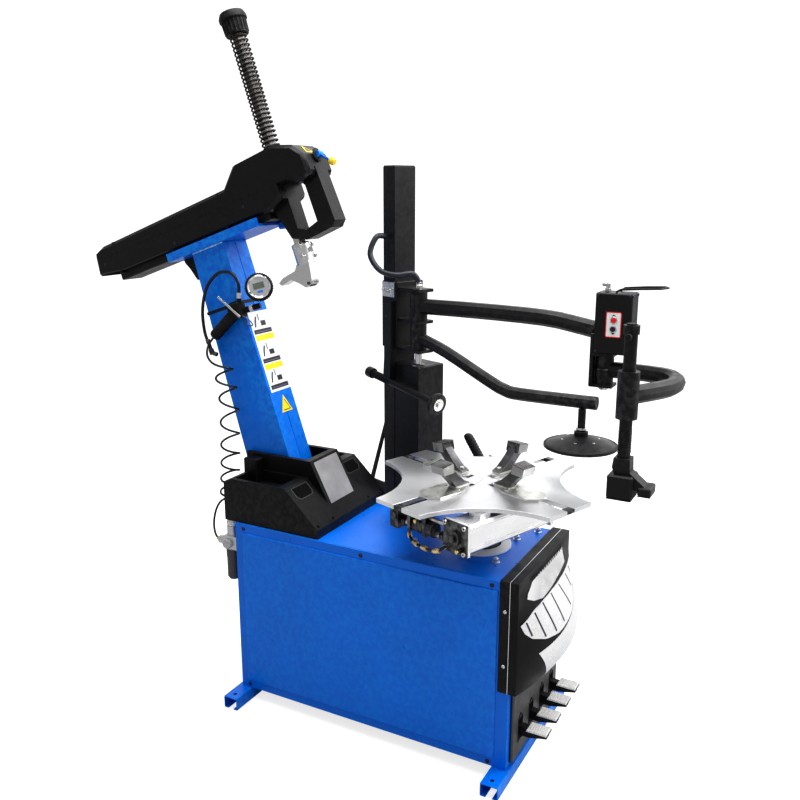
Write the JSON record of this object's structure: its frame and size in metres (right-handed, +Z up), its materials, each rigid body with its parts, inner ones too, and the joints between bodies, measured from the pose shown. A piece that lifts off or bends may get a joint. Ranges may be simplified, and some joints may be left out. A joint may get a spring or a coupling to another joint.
{
  "type": "tyre changer",
  "caption": "Tilt-back column tyre changer: blue cabinet on two feet, star turntable with clamp jaws, sliding tool arm, bead breaker and a right-hand helper arm.",
  "frame": {"origin": "bottom centre of the bounding box, on the floor", "axes": "+Z up, +X the operator's right, the operator stands at -Y"},
  "size_m": [0.7324, 1.9185, 2.1146],
  "materials": {
    "blue_paint": "gloss",
    "black_paint": "satin",
    "black_plastic": "matte",
    "brushed_steel": "brushed",
    "aluminium": "satin",
    "chrome": "polished",
    "rubber": "matte",
    "cast_iron": "rough",
    "red_button": "gloss"
  },
  "bodies": {
    "base": {"cabinet_shell": "blue_paint", "side_panel": "blue_paint", "foot_front": "blue_paint", "foot_rear": "blue_paint", "front_cover": "black_plastic", "pedal_plate": "black_plastic", "column_tray_cover": "black_plastic", "tilt_hinge_bracket": "black_paint", "gearbox": "cast_iron", "drive_motor": "cast_iron", "drive_belt": "rubber", "breaker_cylinder": "black_paint", "tilt_cylinder": "black_paint", "air_regulator": "aluminium", "assist_lower_box": "black_paint", "assist_post": "black_paint", "breaker_pad": "rubber", "coil_hose": "rubber"},
    "pedal_a": {"pedal_1": "black_paint"},
    "pedal_b": {"pedal_2": "black_paint"},
    "pedal_c": {"pedal_3": "black_paint"},
    "pedal_d": {"pedal_4": "black_paint"},
    "turntable": {"turntable_plate": "brushed_steel", "turntable_hub": "cast_iron", "clamp_cylinder_left": "aluminium", "clamp_cylinder_right": "aluminium"},
    "jaw_a": {"clamp_jaw_1": "brushed_steel"},
    "jaw_b": {"clamp_jaw_2": "brushed_steel"},
    "jaw_c": {"clamp_jaw_3": "brushed_steel"},
    "jaw_d": {"clamp_jaw_4": "brushed_steel"},
    "tilt_column": {"column_post": "blue_paint", "tilt_hinge_pin": "chrome", "column_head_plate": "blue_paint", "inflator_gun": "black_paint", "inflator_gauge": "rubber", "whip_hose": "rubber"},
    "tilt_rod": {"tilt_cylinder_rod": "chrome"},
    "inflator_lever": {"inflator_trigger": "aluminium"},
    "reach_arm": {"reach_arm_tube": "black_paint", "reach_arm_cover": "black_plastic", "shaft_spring": "brushed_steel"},
    "lock_lever": {"lock_valve_lever": "blue_paint"},
    "tool_post": {"tool_shaft": "brushed_steel", "shaft_cap": "black_plastic", "mount_head": "chrome"},
    "carriage": {"assist_carriage": "black_paint", "assist_hose": "rubber"},
    "roller": {"bead_roller": "black_paint"},
    "helper_upper_arm": {"upper_arm": "black_paint", "control_box": "black_paint"},
    "lift_button": {"button_lift": "red_button"},
    "press_button": {"button_press": "black_paint"},
    "helper_curved_arm": {"curved_arm": "black_paint"},
    "press": {"press_screw": "black_paint", "press_head": "black_paint"},
    "helper_lower_arm": {"lower_arm": "black_paint"},
    "disc": {"helper_disc": "black_paint"},
    "breaker_lever": {"breaker_arm": "blue_paint"},
    "breaker_shoe": {"breaker_blade": "black_paint"},
    "breaker_piston": {"breaker_rod": "chrome"}
  },
  "joints": [
    {"name": "turn_pedal", "type": "hinge", "parent": "base", "child": "pedal_a", "pos_m": [-0.0364, -0.5552, 0.135], "axis": [1, 0, 0], "range_deg": [-8, 12], "stiffness_Nm_per_rad": 60},
    {"name": "clamp_pedal", "type": "hinge", "parent": "base", "child": "pedal_b", "pos_m": [-0.0364, -0.5552, 0.135], "axis": [1, 0, 0], "range_deg": [0, 12], "stiffness_Nm_per_rad": 12, "springref_deg": -8.59},
    {"name": "tilt_pedal", "type": "hinge", "parent": "base", "child": "pedal_c", "pos_m": [-0.0364, -0.5552, 0.135], "axis": [1, 0, 0], "range_deg": [0, 12], "stiffness_Nm_per_rad": 12, "springref_deg": -8.59},
    {"name": "breaker_pedal", "type": "hinge", "parent": "base", "child": "pedal_d", "pos_m": [-0.0364, -0.5552, 0.135], "axis": [1, 0, 0], "range_deg": [0, 12], "stiffness_Nm_per_rad": 12, "springref_deg": -8.59},
    {"name": "turntable_spin", "type": "hinge", "parent": "base", "child": "turntable", "pos_m": [-0.0364, -0.4402, 0.7], "axis": [0, 0, 1], "continuous": true},
    {"name": "jaw_slide", "type": "slide", "parent": "turntable", "child": "jaw_a", "axis": [-0.9397, 0.342, 0], "range_m": [-0.03, 0.09]},
    {"name": "jaw_b_slide", "type": "slide", "parent": "turntable", "child": "jaw_b", "axis": [-0.342, -0.9397, 0], "range_m": [-0.03, 0.09]},
    {"name": "jaw_c_slide", "type": "slide", "parent": "turntable", "child": "jaw_c", "axis": [0.9397, -0.342, 0], "range_m": [-0.03, 0.09]},
    {"name": "jaw_d_slide", "type": "slide", "parent": "turntable", "child": "jaw_d", "axis": [0.342, 0.9397, 0], "range_m": [-0.03, 0.09]},
    {"name": "column_tilt", "type": "hinge", "parent": "base", "child": "tilt_column", "pos_m": [-0.0364, 0.2198, 0.64], "axis": [1, 0, 0], "range_deg": [0, 18.7]},
    {"name": "tilt_rod_slide", "type": "slide", "parent": "base", "child": "tilt_rod", "axis": [0, 1, 0], "range_m": [0, 0.045]},
    {"name": "inflator_squeeze", "type": "hinge", "parent": "tilt_column", "child": "inflator_lever", "pos_m": [-0.1344, 0.34574, 1.27618], "axis": [1, 0, 0], "range_deg": [0, 9], "stiffness_Nm_per_rad": 0.8, "springref_deg": -6.88},
    {"name": "reach_slide", "type": "slide", "parent": "tilt_column", "child": "reach_arm", "axis": [0, -0.947, 0.3211], "range_m": [-0.015, 0.25]},
    {"name": "lock_valve", "type": "hinge", "parent": "reach_arm", "child": "lock_lever", "pos_m": [-0.0364, 0.08862, 1.70125], "axis": [1, 0, 0], "range_deg": [-20, 20]},
    {"name": "tool_shaft_drop", "type": "slide", "parent": "reach_arm", "child": "tool_post", "axis": [0, -0.3211, -0.947], "range_m": [0, 0.29], "stiffness_N_per_m": 200, "springref_m": -0.7, "deforming": ["shaft_spring"]},
    {"name": "carriage_lift", "type": "slide", "parent": "base", "child": "carriage", "axis": [0, 0, 1], "range_m": [0, 0.3]},
    {"name": "roller_spin", "type": "hinge", "parent": "carriage", "child": "roller", "pos_m": [0.14891, -0.20158, 0.9515], "axis": [-0.3542, -0.9228, -0.1515], "continuous": true},
    {"name": "upper_arm_swing", "type": "hinge", "parent": "carriage", "child": "helper_upper_arm", "pos_m": [0.23844, -0.0967, 1.2], "axis": [0, 0, 1], "range_deg": [-10, 90]},
    {"name": "lift_button_push", "type": "slide", "parent": "helper_upper_arm", "child": "lift_button", "axis": [1, 0, 0], "range_m": [0, 0.003], "stiffness_N_per_m": 300, "springref_m": -0.003},
    {"name": "press_button_push", "type": "slide", "parent": "helper_upper_arm", "child": "press_button", "axis": [1, 0, 0], "range_m": [0, 0.003], "stiffness_N_per_m": 300, "springref_m": -0.003},
    {"name": "curved_arm_swing", "type": "hinge", "parent": "helper_upper_arm", "child": "helper_curved_arm", "pos_m": [0.2136, -0.7102, 1.1], "axis": [0, 0, 1], "range_deg": [-15, 92]},
    {"name": "press_slide", "type": "slide", "parent": "helper_curved_arm", "child": "press", "axis": [0, 0, 1], "range_m": [0, 0.094]},
    {"name": "lower_arm_swing", "type": "hinge", "parent": "carriage", "child": "helper_lower_arm", "pos_m": [0.23844, -0.0967, 1.2], "axis": [0, 0, 1], "range_deg": [-20, 60]},
    {"name": "disc_spin", "type": "hinge", "parent": "helper_lower_arm", "child": "disc", "pos_m": [0.1146, -0.6802, 0.95], "axis": [0, 0, 1], "continuous": true},
    {"name": "breaker_swing", "type": "hinge", "parent": "base", "child": "breaker_lever", "pos_m": [0.2086, 0.2398, 0.29], "axis": [0, 0, 1], "range_deg": [0, 30]},
    {"name": "breaker_shoe_pivot", "type": "hinge", "parent": "breaker_lever", "child": "breaker_shoe", "pos_m": [0.2086, -0.4652, 0.29], "axis": [0, 0, 1], "range_deg": [0, 20]},
    {"name": "breaker_rod_slide", "type": "slide", "parent": "base", "child": "breaker_piston", "axis": [1, 0, 0], "range_m": [0, 0.18]}
  ],
  "couplings": [
    {"joint": "jaw_b_slide", "follows": "jaw_slide", "ratio": 1},
    {"joint": "jaw_c_slide", "follows": "jaw_slide", "ratio": 1},
    {"joint": "jaw_d_slide", "follows": "jaw_slide", "ratio": 1},
    {"joint": "tilt_rod_slide", "follows": "column_tilt", "m_per_rad": 0.1195},
    {"joint": "breaker_rod_slide", "follows": "breaker_swing", "m_per_rad": 0.34}
  ]
}
